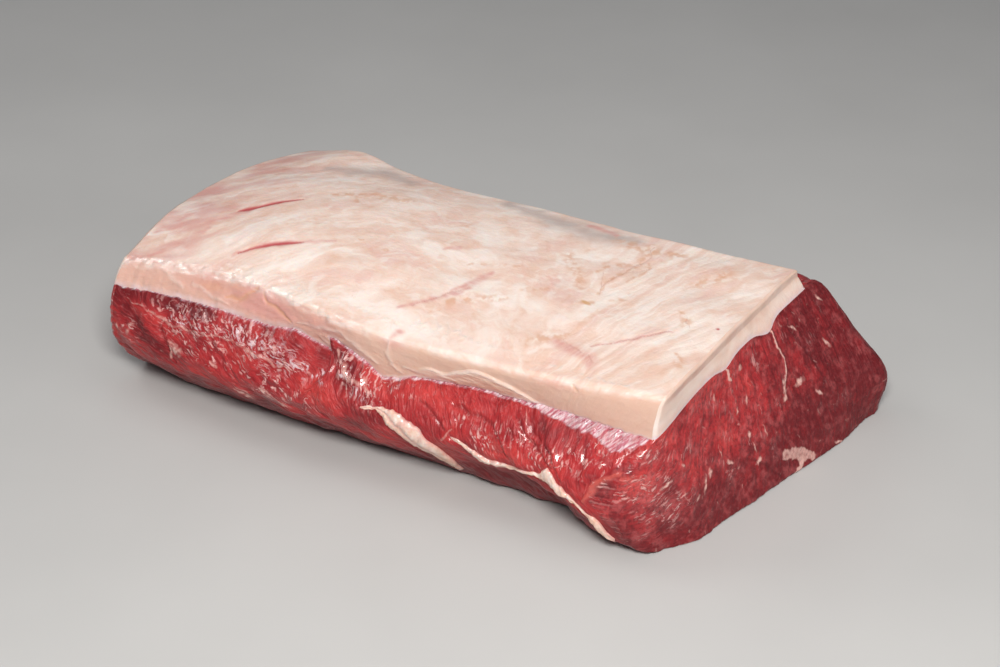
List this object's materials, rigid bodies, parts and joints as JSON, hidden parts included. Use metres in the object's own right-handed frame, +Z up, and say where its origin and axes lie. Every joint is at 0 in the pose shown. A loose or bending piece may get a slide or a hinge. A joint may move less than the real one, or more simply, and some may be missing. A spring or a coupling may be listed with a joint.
{
  "type": "raw beef striploin",
  "caption": "Boneless block of raw striploin with a cream fat cap, a red grained front side, seam fat along its lower edge and a cut end face.",
  "frame": {"origin": "centre of the box at the flat underside, which lies on z = 0", "axes": "+Z up through the fat cap, +X along the length toward the flared cut face, -Y toward the front side with the seam fat"},
  "size_m": [0.4072, 0.2122, 0.0943],
  "materials": {
    "lean": "wet raw meat, deep red with fine grain and a glossy skin of moisture",
    "cap_fat": "firm cream-pink fat, soft satin with moist glints on its front edge",
    "seam_fat": "pale moist seam fat"
  },
  "bodies": {
    "root": {"lean_meat": "lean", "fat_cap": "cap_fat", "seam_fat_lobe": "seam_fat", "seam_fat_strip": "seam_fat"}
  },
  "joints": []
}
